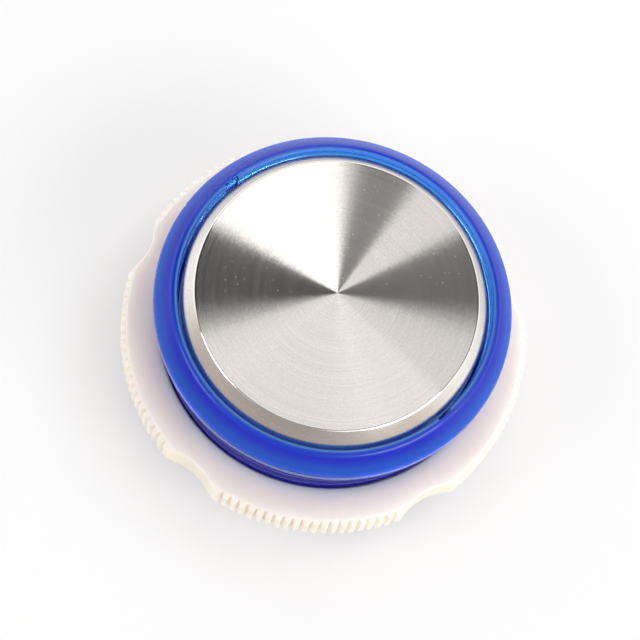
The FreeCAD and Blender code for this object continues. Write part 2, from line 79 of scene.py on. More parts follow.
class NodeBench:
    """A shader tree with short calls that add and link its nodes."""

    def __init__(self, tree: bpy.types.NodeTree) -> None:
        """Works on a tree that exists."""
        self.tree = tree

    def add(
        self, kind: str, feeds: Mapping[Union[str, int], Feed] | None = None, **settings: object
    ) -> bpy.types.Node:
        """Adds one node.

        Args:
            kind: Blender's class name of the node.
            feeds: What goes into its inputs, by name or place: another node's socket, or a constant.
            settings: The node's own properties.

        Returns:
            The new node.
        """
        node = self.tree.nodes.new(kind)
        for key, setting in settings.items():
            setattr(node, key, setting)
        for key, feed in (feeds or {}).items():
            if isinstance(feed, Socket):
                self.tree.links.new(feed, node.inputs[key])
            else:
                node.inputs[key].default_value = feed
        return node

    def maths(self, operation: str, first: Feed, second: Feed = 0.0, third: Feed = 0.0) -> Socket:
        """Works on numbers.

        Args:
            operation: Blender's name of the operation.
            first: The first number.
            second: The second number, where the operation has one.
            third: The third number, where the operation has one.

        Returns:
            The socket with the result.
        """
        return self.add("ShaderNodeMath", {0: first, 1: second, 2: third}, operation=operation).outputs[0]

    def vector(
        self, operation: str, first: Feed, second: Feed = (0.0, 0.0, 0.0), scale: Feed = 1.0
    ) -> Socket:
        """Works on vectors.

        Args:
            operation: Blender's name of the operation.
            first: The first vector.
            second: The second vector, where the operation has one.
            scale: The factor of a scaling.

        Returns:
            The socket with the result.
        """
        feeds = {0: first, "Scale": scale} if operation == "SCALE" else {0: first, 1: second}
        node = self.add("ShaderNodeVectorMath", feeds, operation=operation)
        return node.outputs["Value" if operation in ("LENGTH", "DOT_PRODUCT") else "Vector"]

    def tint(self, share: Feed, low: Feed, high: Feed, blend: str = "MIX") -> Socket:
        """Mixes two colours.

        Args:
            share: How much of the second colour goes in.
            low: The first colour.
            high: The second colour.
            blend: Blender's name of the way they mix.

        Returns:
            The socket with the mixed colour.
        """
        node = self.add("ShaderNodeMix", {0: share, 6: low, 7: high}, data_type="RGBA", blend_type=blend)
        return node.outputs[2]

    def span(self, number: Feed, start: float, end: float, low: float = 0.0, high: float = 1.0) -> Socket:
        """Maps a number smoothly from one span to another, and holds it at the ends.

        Args:
            number: The number to map.
            start: The value that gives low.
            end: The value that gives high.
            low: The result at start.
            high: The result at end.

        Returns:
            The socket with the mapped number.
        """
        feeds = {"Value": number, "From Min": start, "From Max": end, "To Min": low, "To Max": high}
        return self.add("ShaderNodeMapRange", feeds, interpolation_type="SMOOTHSTEP").outputs["Result"]

    def noise(self, place: Feed, scale: Feed, detail: float = 3.0, roughness: float = 0.55) -> Socket:
        """Cloudy noise from 0 to 1.

        Args:
            place: Where the noise is read.
            scale: How many clouds there are in a metre.
            detail: How many finer layers are added.
            roughness: How strong the finer layers are.

        Returns:
            The socket with the noise.
        """
        feeds = {"Vector": place, "Scale": scale, "Detail": detail, "Roughness": roughness}
        return self.add("ShaderNodeTexNoise", feeds).outputs[0]

    def blend(self, share: Feed, low: Feed, high: Feed) -> Socket:
        """Mixes two numbers.

        Args:
            share: How much of the second number goes in.
            low: The first number.
            high: The second number.

        Returns:
            The socket with the mixed number.
        """
        return self.add("ShaderNodeMix", {0: share, 2: low, 3: high}).outputs[0]

    def axes(self, place: Feed) -> Outlets:
        """The X, Y and Z of a vector."""
        return self.add("ShaderNodeSeparateXYZ", {0: place}).outputs

    def normal(self) -> Socket:
        """The surface's own normal."""
        return self.add("ShaderNodeNewGeometry").outputs["Normal"]

    def bump(self, height: Feed, strength: float, depth: float, normal: Socket | None = None) -> Socket:
        """Raises a surface by a height map.

        Args:
            height: The height from 0 to 1.
            strength: How much of the relief shows.
            depth: The relief's depth in metres.
            normal: The normal that it starts from, if it isn't the surface's own.

        Returns:
            The socket with the new normal.
        """
        feeds: dict[Union[str, int], Feed] = {"Height": height, "Strength": strength, "Distance": depth}
        if normal is not None:
            feeds["Normal"] = normal
        return self.add("ShaderNodeBump", feeds).outputs[0]

    def feed(self, shader: bpy.types.Node, **feeds: Feed) -> None:
        """Sets a shader's inputs, with an underscore for each space in a name.

        Args:
            shader: The shader.
            feeds: A socket or a constant for each input.
        """
        for name, feed in feeds.items():
            socket = shader.inputs[name.replace("_", " ")]
            if isinstance(feed, Socket):
                self.tree.links.new(feed, socket)
            else:
                socket.default_value = feed

    def place(self) -> Socket:
        """The point on the surface, in the part's own frame in metres."""
        return self.add("ShaderNodeTexCoord").outputs["Object"]


@dataclass(frozen=True)
class Effect:
    """A surface effect that several finishes share, kept as one node group."""

    name: str
    knobs: tuple[tuple[str, float], ...] = ()
    results: tuple[tuple[str, str], ...] = ()

    def wire(self, bench: NodeBench, knob: Mapping[str, Socket]) -> dict[str, Socket]:
        """Wires the group's inside.

        Args:
            bench: The group's tree.
            knob: The group's inputs by name.

        Returns:
            The sockets that feed the group's outputs, by name.
        """
        raise NotImplementedError

    def group(self) -> bpy.types.NodeTree:
        """The node group, built the first time it is asked for.

        Returns:
            The group's tree.
        """
        found = bpy.data.node_groups.get(self.name)
        if found:
            return found
        tree = bpy.data.node_groups.new(self.name, "ShaderNodeTree")
        for knob, start in self.knobs:
            socket = tree.interface.new_socket(knob, in_out="INPUT", socket_type="NodeSocketFloat")
            socket.default_value = start
        for result, kind in self.results:
            tree.interface.new_socket(result, in_out="OUTPUT", socket_type=f"NodeSocket{kind}")
        bench = NodeBench(tree)
        source = bench.add("NodeGroupInput")
        sink = bench.add("NodeGroupOutput")
        sockets = self.wire(bench, {knob: source.outputs[knob] for knob, _ in self.knobs})
        for result, socket in sockets.items():
            tree.links.new(socket, sink.inputs[result])
        return tree

    def put(self, bench: NodeBench, **values: float) -> Outlets:
        """Places the effect in a material.

        Args:
            bench: The material's tree.
            values: This material's own values for the group's inputs.

        Returns:
            The placed group's outputs.
        """
        node = bench.add("ShaderNodeGroup", node_tree=self.group())
        for knob, value in values.items():
            node.inputs[knob].default_value = value
        return node.outputs


@dataclass(frozen=True)
class MouldedGrain(Effect):
    """Fine spark-eroded grain and slow cloudiness of a moulding."""

    name: str = "moulded_grain"
    knobs: tuple[tuple[str, float], ...] = (("Grains", 9000.0), ("Clouds", 160.0))
    results: tuple[tuple[str, str], ...] = (("Height", "Float"), ("Mottle", "Float"))

    def wire(self, bench: NodeBench, knob: Mapping[str, Socket]) -> dict[str, Socket]:
        """Grain height from fine noise, mottle from two slow noises.

        Args:
            bench: The group's tree.
            knob: The group's inputs by name.

        Returns:
            The sockets that feed the group's outputs, by name.
        """
        here = bench.place()
        height = bench.noise(here, knob["Grains"], 2.0, 0.6)
        slow = bench.noise(here, knob["Clouds"], 4.0, 0.6)
        fast = bench.noise(here, bench.maths("MULTIPLY", knob["Clouds"], 9.0), 2.0)
        mottle = bench.maths("MULTIPLY_ADD", fast, 0.35, bench.maths("MULTIPLY", slow, 0.65))
        return {"Height": height, "Mottle": bench.span(mottle, 0.3, 0.7)}


@dataclass(frozen=True)
class SoftEdge(Effect):
    """Small round on the corners of a solid, with a mask of where it lies."""

    name: str = "soft_edge"
    knobs: tuple[tuple[str, float], ...] = (("Round", 0.00012),)
    results: tuple[tuple[str, str], ...] = (("Normal", "Vector"), ("Edge", "Float"))

    def wire(self, bench: NodeBench, knob: Mapping[str, Socket]) -> dict[str, Socket]:
        """Rounded normal, and its turn away from the flat one as the mask.

        Args:
            bench: The group's tree.
            knob: The group's inputs by name.

        Returns:
            The sockets that feed the group's outputs, by name.
        """
        rounded_normal = bench.add("ShaderNodeBevel", {"Radius": knob["Round"]}, samples=6).outputs[0]
        likeness = bench.vector("DOT_PRODUCT", rounded_normal, bench.normal())
        return {"Normal": rounded_normal, "Edge": bench.span(likeness, 0.995, 0.86)}


@dataclass(frozen=True)
class Specks(Effect):
    """Stray specks and pin marks."""

    name: str = "specks"
    knobs: tuple[tuple[str, float], ...] = (("Count", 900.0), ("Size", 0.09))
    results: tuple[tuple[str, str], ...] = (("Mask", "Float"),)

    def wire(self, bench: NodeBench, knob: Mapping[str, Socket]) -> dict[str, Socket]:
        """A dot in some of the cells of a cell pattern.

        Args:
            bench: The group's tree.
            knob: The group's inputs by name.

        Returns:
            The sockets that feed the group's outputs, by name.
        """
        cells = bench.add("ShaderNodeTexVoronoi", {"Vector": bench.place(), "Scale": knob["Count"]})
        pick = bench.add("ShaderNodeSeparateColor", {0: cells.outputs["Color"]}).outputs[0]
        chosen = bench.maths("GREATER_THAN", pick, 0.72)
        reach = bench.maths("MULTIPLY", knob["Size"], bench.maths("MULTIPLY_ADD", pick, 2.0, -0.9))
        dot = bench.maths("LESS_THAN", cells.outputs["Distance"], reach)
        return {"Mask": bench.maths("MULTIPLY", dot, chosen)}


@dataclass(frozen=True)
class RingLines(Effect):
    """Fine lines that a lathe leaves in circles round the button's axis."""

    name: str = "ring_lines"
    knobs: tuple[tuple[str, float], ...] = (("Lines", 5200.0), ("Wander", 0.00003))
    results: tuple[tuple[str, str], ...] = (
        ("Outward", "Vector"),
        ("Fine", "Float"),
        ("Broad", "Float"),
        ("Radius", "Float"),
    )

    def wire(self, bench: NodeBench, knob: Mapping[str, Socket]) -> dict[str, Socket]:
        """Noise along the radius alone, which a slow noise bends a little.

        Args:
            bench: The group's tree.
            knob: The group's inputs by name.

        Returns:
            The sockets that feed the group's outputs, by name.
        """
        here = bench.place()
        flat = bench.vector("MULTIPLY", here, (1.0, 1.0, 0.0))
        radius = bench.vector("LENGTH", flat)
        bend = bench.maths("MULTIPLY", bench.noise(here, 240.0, 1.0), knob["Wander"])
        line = bench.maths("ADD", radius, bend)
        thin = {"W": line, "Scale": knob["Lines"], "Detail": 3.0}
        wide = {"W": line, "Scale": 900.0, "Detail": 2.0}
        return {
            "Outward": bench.vector("NORMALIZE", flat),
            "Fine": bench.add("ShaderNodeTexNoise", thin, noise_dimensions="1D").outputs[0],
            "Broad": bench.add("ShaderNodeTexNoise", wide, noise_dimensions="1D").outputs[0],
            "Radius": radius,
        }


GRAIN = MouldedGrain()
EDGE = SoftEdge()
SPECKS = Specks()
RINGS = RingLines()


def fresh_material(name: str) -> tuple[bpy.types.Material, NodeBench, bpy.types.Node]:
    """Makes an empty material.

    Args:
        name: The material's name.

    Returns:
        The material, its bench and its shader.
    """
    material = bpy.data.materials.new(name)
    material.use_nodes = True
    material.node_tree.nodes.clear()
    bench = NodeBench(material.node_tree)
    shader = bench.add("ShaderNodeBsdfPrincipled")
    bench.add("ShaderNodeOutputMaterial", {"Surface": shader.outputs[0]})
    return material, bench, shader


@dataclass(frozen=True)
class Finish:
    """A surface finish, kept as one material."""

    name: str

    def lay(self, bench: NodeBench, shader: bpy.types.Node) -> None:
        """Wires the finish into a fresh material.

        Args:
            bench: The material's tree.
            shader: Its shader.
        """
        raise NotImplementedError

    def material(self) -> bpy.types.Material:
        """The material, built the first time it is asked for.

        Returns:
            The finished material.
        """
        found = bpy.data.materials.get(self.name)
        if found:
            return found
        material, bench, shader = fresh_material(self.name)
        self.lay(bench, shader)
        return material


@dataclass(frozen=True)
class MouldedPlastic(Finish):
    """Solid-coloured moulding with grain, cloudiness, soft corners and a few specks, and, where a side
    colour is given, painted shade on its upright sides.
    """

    colour: Colour = (0.8, 0.8, 0.8, 1.0)
    shade: Colour = (0.7, 0.7, 0.7, 1.0)
    worn: Colour = (0.9, 0.9, 0.9, 1.0)
    roughness: float = 0.45
    grain: float = 0.12
    grains: float = 9000.0
    corner: float = 0.00012
    glow: float = 0.0
    glow_reach: float = 0.001
    glow_colour: tuple[float, float, float] = (1.0, 0.75, 0.5)
    # Painted shade: where given, the colour of the upright sides, which stands for the lamps lighting them
    # differently from the top.
    side: Colour | None = None

    def lay(self, bench: NodeBench, shader: bpy.types.Node) -> None:
        """Colour, roughness and bump from the shared effects.

        Args:
            bench: The material's tree.
            shader: Its shader.
        """
        grain = GRAIN.put(bench, Grains=self.grains)
        edge = EDGE.put(bench, Round=self.corner)
        specks = SPECKS.put(bench, Count=700.0, Size=0.07)
        cloudy = bench.tint(grain["Mottle"], self.colour, self.shade)
        # Painted shade: upright faces blend into the side colour.
        if self.side:
            level = bench.maths("ABSOLUTE", bench.axes(bench.normal())["Z"])
            cloudy = bench.tint(bench.span(level, 0.9, 0.3), cloudy, self.side)
        edged = bench.tint(bench.maths("MULTIPLY", edge["Edge"], 0.55), cloudy, self.worn)
        marked = bench.tint(bench.maths("MULTIPLY", specks["Mask"], 0.25), edged, (0.25, 0.22, 0.19, 1.0))
        rough = bench.span(grain["Mottle"], 0.0, 1.0, self.roughness - 0.05, self.roughness + 0.07)
        bump = bench.bump(grain["Height"], self.grain, 0.00003, edge["Normal"])
        bench.feed(shader, Base_Color=marked, Roughness=rough, Normal=bump, IOR=PLASTIC_IOR)
        if self.glow:
            shader.inputs["Subsurface Weight"].default_value = self.glow
            shader.inputs["Subsurface Radius"].default_value = self.glow_colour
            shader.inputs["Subsurface Scale"].default_value = self.glow_reach


@dataclass(frozen=True)
class WorkedMetal(Finish):
    """Bare or plated metal with drawing lines, cloudiness and a painted highlight on its corners."""

    colour: Colour = (0.7, 0.7, 0.7, 1.0)
    shade: Colour = (0.55, 0.55, 0.55, 1.0)
    roughness: float = 0.32
    grain: float = 0.08
    corner: float = 0.00006

    def lay(self, bench: NodeBench, shader: bpy.types.Node) -> None:
        """Colour, roughness and bump from the shared effects.

        Args:
            bench: The material's tree.
            shader: Its shader.
        """
        grain = GRAIN.put(bench, Grains=14000.0, Clouds=700.0)
        edge = EDGE.put(bench, Round=self.corner)
        cloudy = bench.tint(grain["Mottle"], self.colour, self.shade)
        # Painted highlight: the corners are tinted near-white.
        bright = bench.tint(bench.maths("MULTIPLY", edge["Edge"], 0.5), cloudy, (0.92, 0.91, 0.88, 1.0))
        rough = bench.span(grain["Mottle"], 0.0, 1.0, self.roughness - 0.06, self.roughness + 0.1)
        bump = bench.bump(grain["Height"], self.grain, 0.00002, edge["Normal"])
        bench.feed(shader, Base_Color=bright, Metallic=1.0, Roughness=rough, Normal=bump)


@dataclass(frozen=True)
class TurnedSteel(Finish):
    """Stainless face turned in circles, whose lines spread light across them."""

    colour: Colour = (0.78, 0.755, 0.735, 1.0)
    shade: Colour = (0.68, 0.65, 0.625, 1.0)
    roughness: float = 0.19
    round_roughness: float = 0.1
    bevel_roughness: float = 0.24
    lean: float = 0.2
    ripple: float = 0.036
    swell: float = 0.03
    stray: float = 0.016
    bevel_lift: float = 0.14
    spread: float = 1.0
    pit: Colour = (0.42, 0.39, 0.36, 1.0)
    dust: Colour = (0.8, 0.78, 0.75, 1.0)

    def leaned(self, bench: NodeBench, rings: Outlets, face: Feed, upright: Feed) -> Socket:
        """Leans the normal out across the lines on the face, and lifts it on the bevel.

        Args:
            bench: The material's tree.
            rings: The turning lines' outputs.
            face: 1 on the flat face, and 0 elsewhere.
            upright: The normal's height.

        Returns:
            The normal, with a little stray.
        """
        normal = bench.normal()
        ripple = bench.maths("MULTIPLY_ADD", rings["Fine"], self.ripple, -self.ripple / 2)
        swell = bench.maths("MULTIPLY_ADD", rings["Broad"], self.swell, -self.swell / 2)
        slope = bench.maths("ADD", bench.maths("ADD", ripple, swell), self.lean)
        tilt = bench.vector("SCALE", rings["Outward"], scale=bench.maths("MULTIPLY", slope, face))
        bevel = bench.maths("MULTIPLY", bench.span(upright, 0.76, 0.7), bench.span(upright, 0.3, 0.6))
        lifted = {"Z": bench.maths("MULTIPLY", bevel, self.bevel_lift)}
        lift = bench.add("ShaderNodeCombineXYZ", lifted).outputs[0]
        turned = bench.vector("ADD", bench.vector("ADD", normal, tilt), lift)
        clouds = {"Vector": bench.place(), "Scale": 3200.0, "Detail": 3.0}
        blots = bench.add("ShaderNodeTexNoise", clouds).outputs["Color"]
        stray = bench.vector("SUBTRACT", blots, (0.5, 0.5, 0.5))
        strayed = bench.vector("ADD", turned, bench.vector("SCALE", stray, scale=self.stray))
        return bench.vector("NORMALIZE", strayed)

    def marked(self, bench: NodeBench, rings: Outlets, dust: Feed) -> Socket:
        """Colours the steel with its lines, grain, pits and dust.

        Args:
            bench: The material's tree.
            rings: The turning lines' outputs.
            dust: Where dust lies.

        Returns:
            The colour.
        """
        lines = bench.span(rings["Fine"], 0.35, 0.65)
        grain = bench.span(bench.noise(bench.place(), 6500.0, 2.0), 0.35, 0.65)
        worn = bench.maths("MULTIPLY_ADD", grain, 0.5, bench.maths("MULTIPLY", lines, 0.3))
        metal = bench.tint(worn, self.colour, self.shade)
        pits = bench.maths("MULTIPLY", SPECKS.put(bench, Count=1500.0, Size=0.05)["Mask"], 0.5)
        pitted = bench.tint(pits, metal, self.pit)
        return bench.tint(bench.maths("MULTIPLY", dust, 0.4), pitted, self.dust)

    def lay(self, bench: NodeBench, shader: bpy.types.Node) -> None:
        """Leans the face's normal out across the lines, and spreads the gloss that way.

        Args:
            bench: The material's tree.
            shader: Its shader.
        """
        rings = RINGS.put(bench)
        dust = SPECKS.put(bench, Count=2200.0, Size=0.17)["Mask"]
        upright = bench.axes(bench.normal())["Z"]
        face = bench.span(upright, 0.985, 0.999)
        rough = bench.maths("MULTIPLY_ADD", rings["Broad"], 0.06, self.roughness - 0.03)
        edge = bench.span(upright, 0.7, 0.76, self.bevel_roughness, self.round_roughness)
        shader.inputs["Anisotropic"].default_value = self.spread
        bench.feed(
            shader,
            Base_Color=self.marked(bench, rings, dust),
            Metallic=bench.maths("MULTIPLY_ADD", dust, -0.3, 1.0),
            Roughness=bench.blend(face, edge, rough),
            Normal=self.leaned(bench, rings, face, upright),
            Tangent=rings["Outward"],
        )


@dataclass(frozen=True)
class ClearBlue(Finish):
    """Clear blue moulding, whose colour holds painted light and shade: paler where light would come
    through thin plastic, with a painted glow on the bore, and painted shade along its wall, low in the
    bore and on the thread under the flange.
    """

    # Painted light and shade: the paler colours below stand for light coming through thin plastic and a
    # painted glow on the bore and its lip; the darker ones are painted shade along the wall, low in the
    # bore and on the thread under the flange.
    lit_overhang: Colour = (0.01, 0.17, 1.0, 1.0)
    wall: Colour = (0.004, 0.035, 0.95, 1.0)
    crest: Colour = (0.012, 0.09, 1.0, 1.0)
    bore: Colour = (0.34, 0.76, 1.0, 1.0)
    lip: Colour = (0.1, 0.38, 1.0, 1.0)
    shaded_bore_end: Colour = (0.003, 0.03, 0.5, 1.0)
    thread: Colour = (0.02, 0.03, 0.62, 1.0)
    clearness: float = 0.58
    roughness: float = 0.09
    crest_roughness: float = 0.2
    gloss: float = 0.32

    def painted_light_colour(self, bench: NodeBench) -> Socket:
        """Paints light and shade into the colour by radius and height: pale where light would come through
        the thin plastic, a painted glow on the bore and its lip, and painted shade along the wall, low in
        the bore and on the thread under the flange.

        Args:
            bench: The material's tree.

        Returns:
            The colour by radius and height.
        """
        here = bench.place()
        radius = bench.vector("LENGTH", bench.vector("MULTIPLY", here, (1.0, 1.0, 0.0)))
        height = bench.axes(here)["Z"]
        # Painted light and shade, zone by zone: paler on the thin rim and crest, a glow on the bore and
        # lip, shade on the wall, low in the bore and on the thread.
        cone = bench.tint(bench.span(radius, 0.0175, 0.0186), self.wall, self.lit_overhang)
        topped = bench.tint(bench.span(height, 0.0027, 0.0029), cone, self.crest)
        threaded = bench.tint(bench.span(height, 0.0001, -0.0002), topped, self.thread)
        inside = bench.tint(bench.span(height, -0.002, 0.001), self.shaded_bore_end, self.bore)
        lipped = bench.tint(bench.span(height, 0.0022, 0.0028), inside, self.lip)
        return bench.tint(bench.span(radius, 0.0169, 0.01685), threaded, lipped)

    def lay(self, bench: NodeBench, shader: bpy.types.Node) -> None:
        """Part clear and part cloudy, with faint flow marks.

        Args:
            bench: The material's tree.
            shader: Its shader.
        """
        grain = GRAIN.put(bench, Grains=1200.0, Clouds=220.0)
        plain = self.painted_light_colour(bench)
        dimmed = bench.tint(1.0, plain, (0.9, 0.9, 0.94, 1.0), "MULTIPLY")
        smooth = bench.span(grain["Mottle"], 0.0, 1.0, self.roughness - 0.02, self.roughness + 0.03)
        crest = bench.span(bench.axes(bench.place())["Z"], 0.0021, 0.0026)
        shader.inputs["Transmission Weight"].default_value = self.clearness
        shader.inputs["IOR"].default_value = PLASTIC_IOR
        shader.inputs["Specular IOR Level"].default_value = self.gloss
        bench.feed(
            shader,
            Base_Color=bench.tint(grain["Mottle"], plain, dimmed),
            Roughness=bench.blend(crest, smooth, self.crest_roughness),
            Normal=bench.bump(grain["Mottle"], 0.08, 0.00004),
        )


@dataclass(frozen=True)
class SolderMask(Finish):
    """Green board with faint copper runs under its lacquer, and pale cut edges."""

    lacquer: Colour = (0.012, 0.13, 0.05, 1.0)
    copper: Colour = (0.03, 0.22, 0.09, 1.0)
    cloud: Colour = (0.01, 0.1, 0.04, 1.0)
    fibre: Colour = (0.35, 0.38, 0.2, 1.0)

    def lay(self, bench: NodeBench, shader: bpy.types.Node) -> None:
        """Copper runs from a cell pattern, under a clear green lacquer.

        Args:
            bench: The material's tree.
            shader: Its shader.
        """
        grain = GRAIN.put(bench, Grains=6000.0, Clouds=300.0)
        edge = EDGE.put(bench, Round=0.00008)
        feeds = {"Vector": bench.place(), "Scale": 420.0, "Randomness": 0.35}
        cells = bench.add("ShaderNodeTexVoronoi", feeds, distance="MANHATTAN")
        run = bench.span(cells.outputs["Distance"], 0.32, 0.38)
        traced = bench.tint(run, self.lacquer, self.copper)
        cloudy = bench.tint(bench.maths("MULTIPLY", grain["Mottle"], 0.3), traced, self.cloud)
        bench.feed(
            shader,
            Base_Color=bench.tint(edge["Edge"], cloudy, self.fibre),
            Roughness=bench.span(grain["Mottle"], 0.0, 1.0, 0.26, 0.36),
            Normal=bench.bump(run, 0.25, 0.00003, edge["Normal"]),
        )


@dataclass(frozen=True)
class BandedChip(Finish):
    """Small board part: its body, and the ends or rim that lie further from its middle."""

    body: Colour = (0.03, 0.03, 0.033, 1.0)
    other: Colour = (0.75, 0.74, 0.71, 1.0)
    circle: float = 0.0096
    along_only: bool = True
    limit: float = 0.0011
    metal: float = 1.0

    def lay(self, bench: NodeBench, shader: bpy.types.Node) -> None:
        """Finds the nearest of six places on the circle, and measures from there.

        Args:
            bench: The material's tree.
            shader: Its shader.
        """
        grain = GRAIN.put(bench, Grains=12000.0, Clouds=900.0)
        edge = EDGE.put(bench, Round=0.00005)
        parts = bench.axes(bench.place())
        turn = bench.maths("ARCTAN2", parts["Y"], parts["X"])
        sixth = math.pi / 3
        offset = bench.maths("SUBTRACT", bench.maths("FLOORED_MODULO", turn, sixth), sixth / 2)
        across = bench.maths("MULTIPLY", parts["X"], parts["X"])
        radius = bench.maths("SQRT", bench.maths("MULTIPLY_ADD", parts["Y"], parts["Y"], across))
        along = bench.maths("MULTIPLY", radius, bench.maths("SINE", offset))
        forward = bench.maths("MULTIPLY", radius, bench.maths("COSINE", offset))
        out = bench.maths("SUBTRACT", forward, self.circle)
        away = bench.maths("ABSOLUTE", along)
        if not self.along_only:
            squares = bench.maths("MULTIPLY_ADD", out, out, bench.maths("MULTIPLY", along, along))
            away = bench.maths("SQRT", squares)
        far = bench.span(away, self.limit - 0.00003, self.limit + 0.00003)
        cloudy = bench.tint(bench.maths("MULTIPLY", grain["Mottle"], 0.4), self.body, (0.1, 0.1, 0.1, 1.0))
        bench.feed(
            shader,
            Base_Color=bench.tint(far, cloudy, self.other),
            Metallic=bench.maths("MULTIPLY", far, self.metal),
            Roughness=bench.span(grain["Mottle"], 0.0, 1.0, 0.34, 0.5),
            Normal=bench.bump(grain["Height"], 0.1, 0.00002, edge["Normal"]),
        )


STEEL_FACE = TurnedSteel("turned_steel_face")
# The bevel is the face's steel in a darker colour: painted shade.
SHADED_STEEL_BEVEL = TurnedSteel(
    "turned_steel_bevel_shaded", (0.66, 0.635, 0.615, 1.0), (0.575, 0.55, 0.525, 1.0), spread=0.0,
)
BLUE_RING = ClearBlue("clear_blue_ring")
BLUE_THIN = ClearBlue("clear_blue_thin", clearness=0.95, gloss=0.5)
# The nut's side colour is painted shade: its knurled sides are darker and warmer than its top.
IVORY_NUT = MouldedPlastic(
    "ivory_nut", (0.975, 0.848, 0.815, 1.0), (0.965, 0.833, 0.79, 1.0), (0.92, 0.85, 0.78, 1.0),
    roughness=0.42, grain=0.1, corner=0.00008, glow=0.85, glow_reach=0.0026, side=(0.93, 0.84, 0.735, 1.0),
)
WHITE_CARRIER = MouldedPlastic("white_carrier", (0.83, 0.83, 0.81, 1.0), (0.76, 0.76, 0.74, 1.0))
DARK_COVER = MouldedPlastic(
    "dark_cover", (0.028, 0.03, 0.034, 1.0), (0.02, 0.021, 0.025, 1.0), (0.09, 0.095, 0.1, 1.0),
    roughness=0.5, grain=0.5, grains=5200.0, corner=0.0002,
)
CREAM_HEADER = MouldedPlastic(
    "cream_header", (0.72, 0.66, 0.5, 1.0), (0.66, 0.6, 0.44, 1.0), (0.8, 0.75, 0.62, 1.0), roughness=0.38,
)
SWITCH_TRAY = MouldedPlastic(
    "switch_tray", (0.02, 0.02, 0.022, 1.0), (0.03, 0.03, 0.032, 1.0), (0.07, 0.07, 0.07, 1.0),
)
SWITCH_LID = MouldedPlastic(
    "switch_lid", (0.1, 0.105, 0.115, 1.0), (0.085, 0.09, 0.1, 1.0), (0.2, 0.2, 0.21, 1.0),
)
PUSH_PIN = MouldedPlastic(
    "push_pin", (0.45, 0.02, 0.015, 1.0), (0.38, 0.015, 0.012, 1.0), (0.6, 0.08, 0.06, 1.0), roughness=0.3,
)
DIODE_CASE = MouldedPlastic(
    "diode_case", (0.012, 0.012, 0.014, 1.0), (0.02, 0.02, 0.021, 1.0), (0.05, 0.05, 0.05, 1.0),
)
SPRING_WIRE = WorkedMetal("spring_wire", (0.5, 0.5, 0.51, 1.0), (0.36, 0.36, 0.37, 1.0), roughness=0.3)
CONTACT_BRASS = WorkedMetal("contact_brass", (0.72, 0.52, 0.2, 1.0), (0.6, 0.4, 0.14, 1.0))
CONTACT_SILVER = WorkedMetal(
    "contact_silver", (0.86, 0.85, 0.82, 1.0), (0.7, 0.69, 0.66, 1.0), roughness=0.26,
)
TINNED_PIN = WorkedMetal("tinned_pin", (0.66, 0.65, 0.62, 1.0), (0.54, 0.53, 0.5, 1.0), roughness=0.3)
PLATED_SCREW = WorkedMetal("plated_screw", (0.6, 0.6, 0.6, 1.0), (0.46, 0.46, 0.47, 1.0), roughness=0.34)
GREEN_BOARD = SolderMask("green_board_lacquer")
CHIP_RESISTOR = BandedChip("chip_resistor")
RING_LED = BandedChip(
    "ring_led", (0.85, 0.72, 0.28, 1.0), (0.85, 0.85, 0.82, 1.0), circle=0.0144,
    along_only=False, limit=0.0012, metal=0.0,
)


def rounded(corners: Sequence[Sequence[float]], steps: int = 6, closed: bool = True) -> list[Point]:
    """Rounds the corners of a section.

    Args:
        corners: Points of radius and height, each with a corner round where it has one.
        steps: How many chords each round gets.
        closed: Whether the last point joins the first.

    Returns:
        The section's points.
    """
    count = len(corners)
    path: list[Point] = []
    for i, corner in enumerate(corners):
        here = Vector(corner[:2])
        radius = corner[2] if len(corner) > 2 else 0.0
        if not radius or (not closed and i in (0, count - 1)):
            path.append((here.x, here.y))
            continue
        back = (Vector(corners[i - 1][:2]) - here).normalized()
        ahead = (Vector(corners[(i + 1) % count][:2]) - here).normalized()
        half = math.acos(max(-1.0, min(1.0, back.dot(ahead)))) / 2
        centre = here + (back + ahead).normalized() * (radius / math.sin(half))
        start = here + back * (radius / math.tan(half)) - centre
        end = here + ahead * (radius / math.tan(half)) - centre
        sweep = start.angle_signed(end)
        for k in range(steps + 1):
            turned = start.copy()
            turned.rotate(Matrix.Rotation(-sweep * k / steps, 2))
            path.append((centre.x + turned.x, centre.y + turned.y))
    return path


def skin(
    name: str, points: np.ndarray, faces: Sequence[Sequence[int]], crease: float = 38.0
) -> bpy.types.Object:
    """Makes a welded mesh with outward faces.

    Args:
        name: The piece's name.
        points: Its points in metres.
        faces: Its faces as indices of points.
        crease: The angle in degrees above which an edge stays sharp.

    Returns:
        The new object, in the scene.
    """
    mesh = bpy.data.meshes.new(name)
    mesh.from_pydata(points.tolist(), [], faces)
    tidy = bmesh.new()
    tidy.from_mesh(mesh)
    bmesh.ops.remove_doubles(tidy, verts=tidy.verts[:], dist=2e-7)
    bmesh.ops.dissolve_degenerate(tidy, edges=tidy.edges[:], dist=2e-7)
    bmesh.ops.recalc_face_normals(tidy, faces=tidy.faces[:])
    loose = sum(not edge.is_manifold for edge in tidy.edges)
    tidy.to_mesh(mesh)
    tidy.free()
    mesh.shade_smooth()
    mesh.set_sharp_from_angle(angle=math.radians(crease))
    thing = bpy.data.objects.new(name, mesh)
    bpy.context.scene.collection.objects.link(thing)
    LOG.info("%s: %d faces, %d open edges", name, len(mesh.polygons), loose)
    return thing


